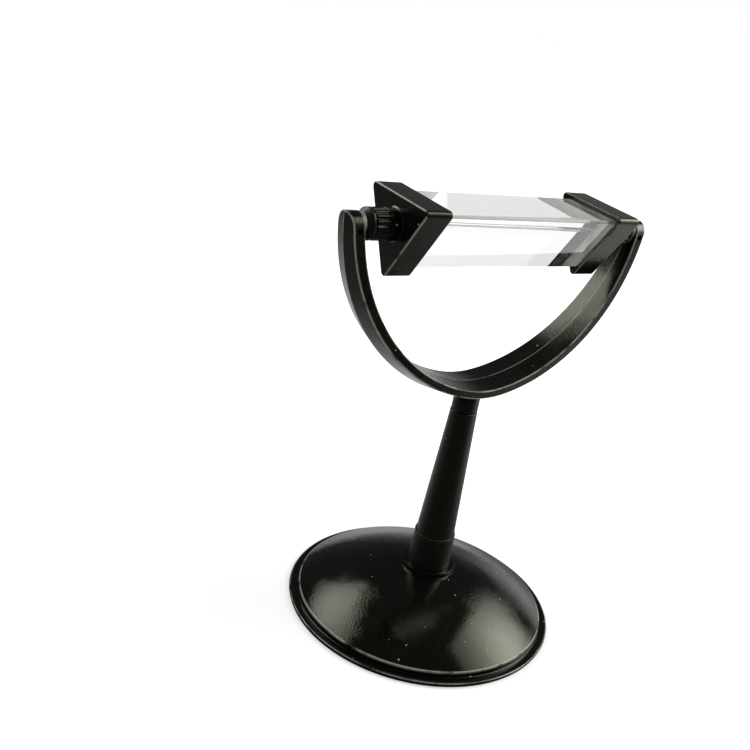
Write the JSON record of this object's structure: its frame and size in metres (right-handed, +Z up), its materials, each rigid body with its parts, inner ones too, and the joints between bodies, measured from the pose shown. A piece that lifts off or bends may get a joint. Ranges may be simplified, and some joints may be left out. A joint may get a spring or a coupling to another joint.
{
  "type": "optical prism on stand",
  "caption": "Equilateral glass prism held by two end caps in a swivelling yoke, on a tapered post with a round domed foot.",
  "frame": {"origin": "centre of the foot's underside, on the table", "axes": "+Z up along the post, +X along the prism towards its right end, -Y towards the front"},
  "size_m": [0.1272, 0.0984, 0.1562],
  "materials": {
    "black_plastic": "semi-gloss moulded black",
    "dark_rubber": "matt black",
    "steel": "plain turned steel",
    "clear_glass": "polished, with ground edges",
    "pale_felt": "pressed grey-green felt"
  },
  "bodies": {
    "stand": {"base_shell": "black_plastic", "base_washer": "steel", "base_screw": "steel", "post": "black_plastic", "foot_collar": "black_plastic"},
    "yoke_body": {"yoke": "black_plastic", "neck_collar": "dark_rubber", "left_arm_collar": "dark_rubber", "right_arm_collar": "dark_rubber", "left_pivot_pin": "steel", "right_pivot_pin": "steel", "left_set_screw": "steel", "right_set_screw": "steel"},
    "prism_holder": {"left_end_cap": "black_plastic", "right_end_cap": "black_plastic", "left_grip": "black_plastic", "right_grip": "black_plastic", "left_cushion": "pale_felt", "right_cushion": "pale_felt", "prism": "clear_glass"}
  },
  "joints": [
    {"name": "yoke_swivel", "type": "hinge", "parent": "stand", "child": "yoke_body", "pos_m": [0, 0, 0.0806], "axis": [0, 0, 1], "continuous": true},
    {"name": "prism_turn", "type": "hinge", "parent": "yoke_body", "child": "prism_holder", "pos_m": [0, 0, 0.14665], "axis": [1, 0, 0], "continuous": true}
  ]
}
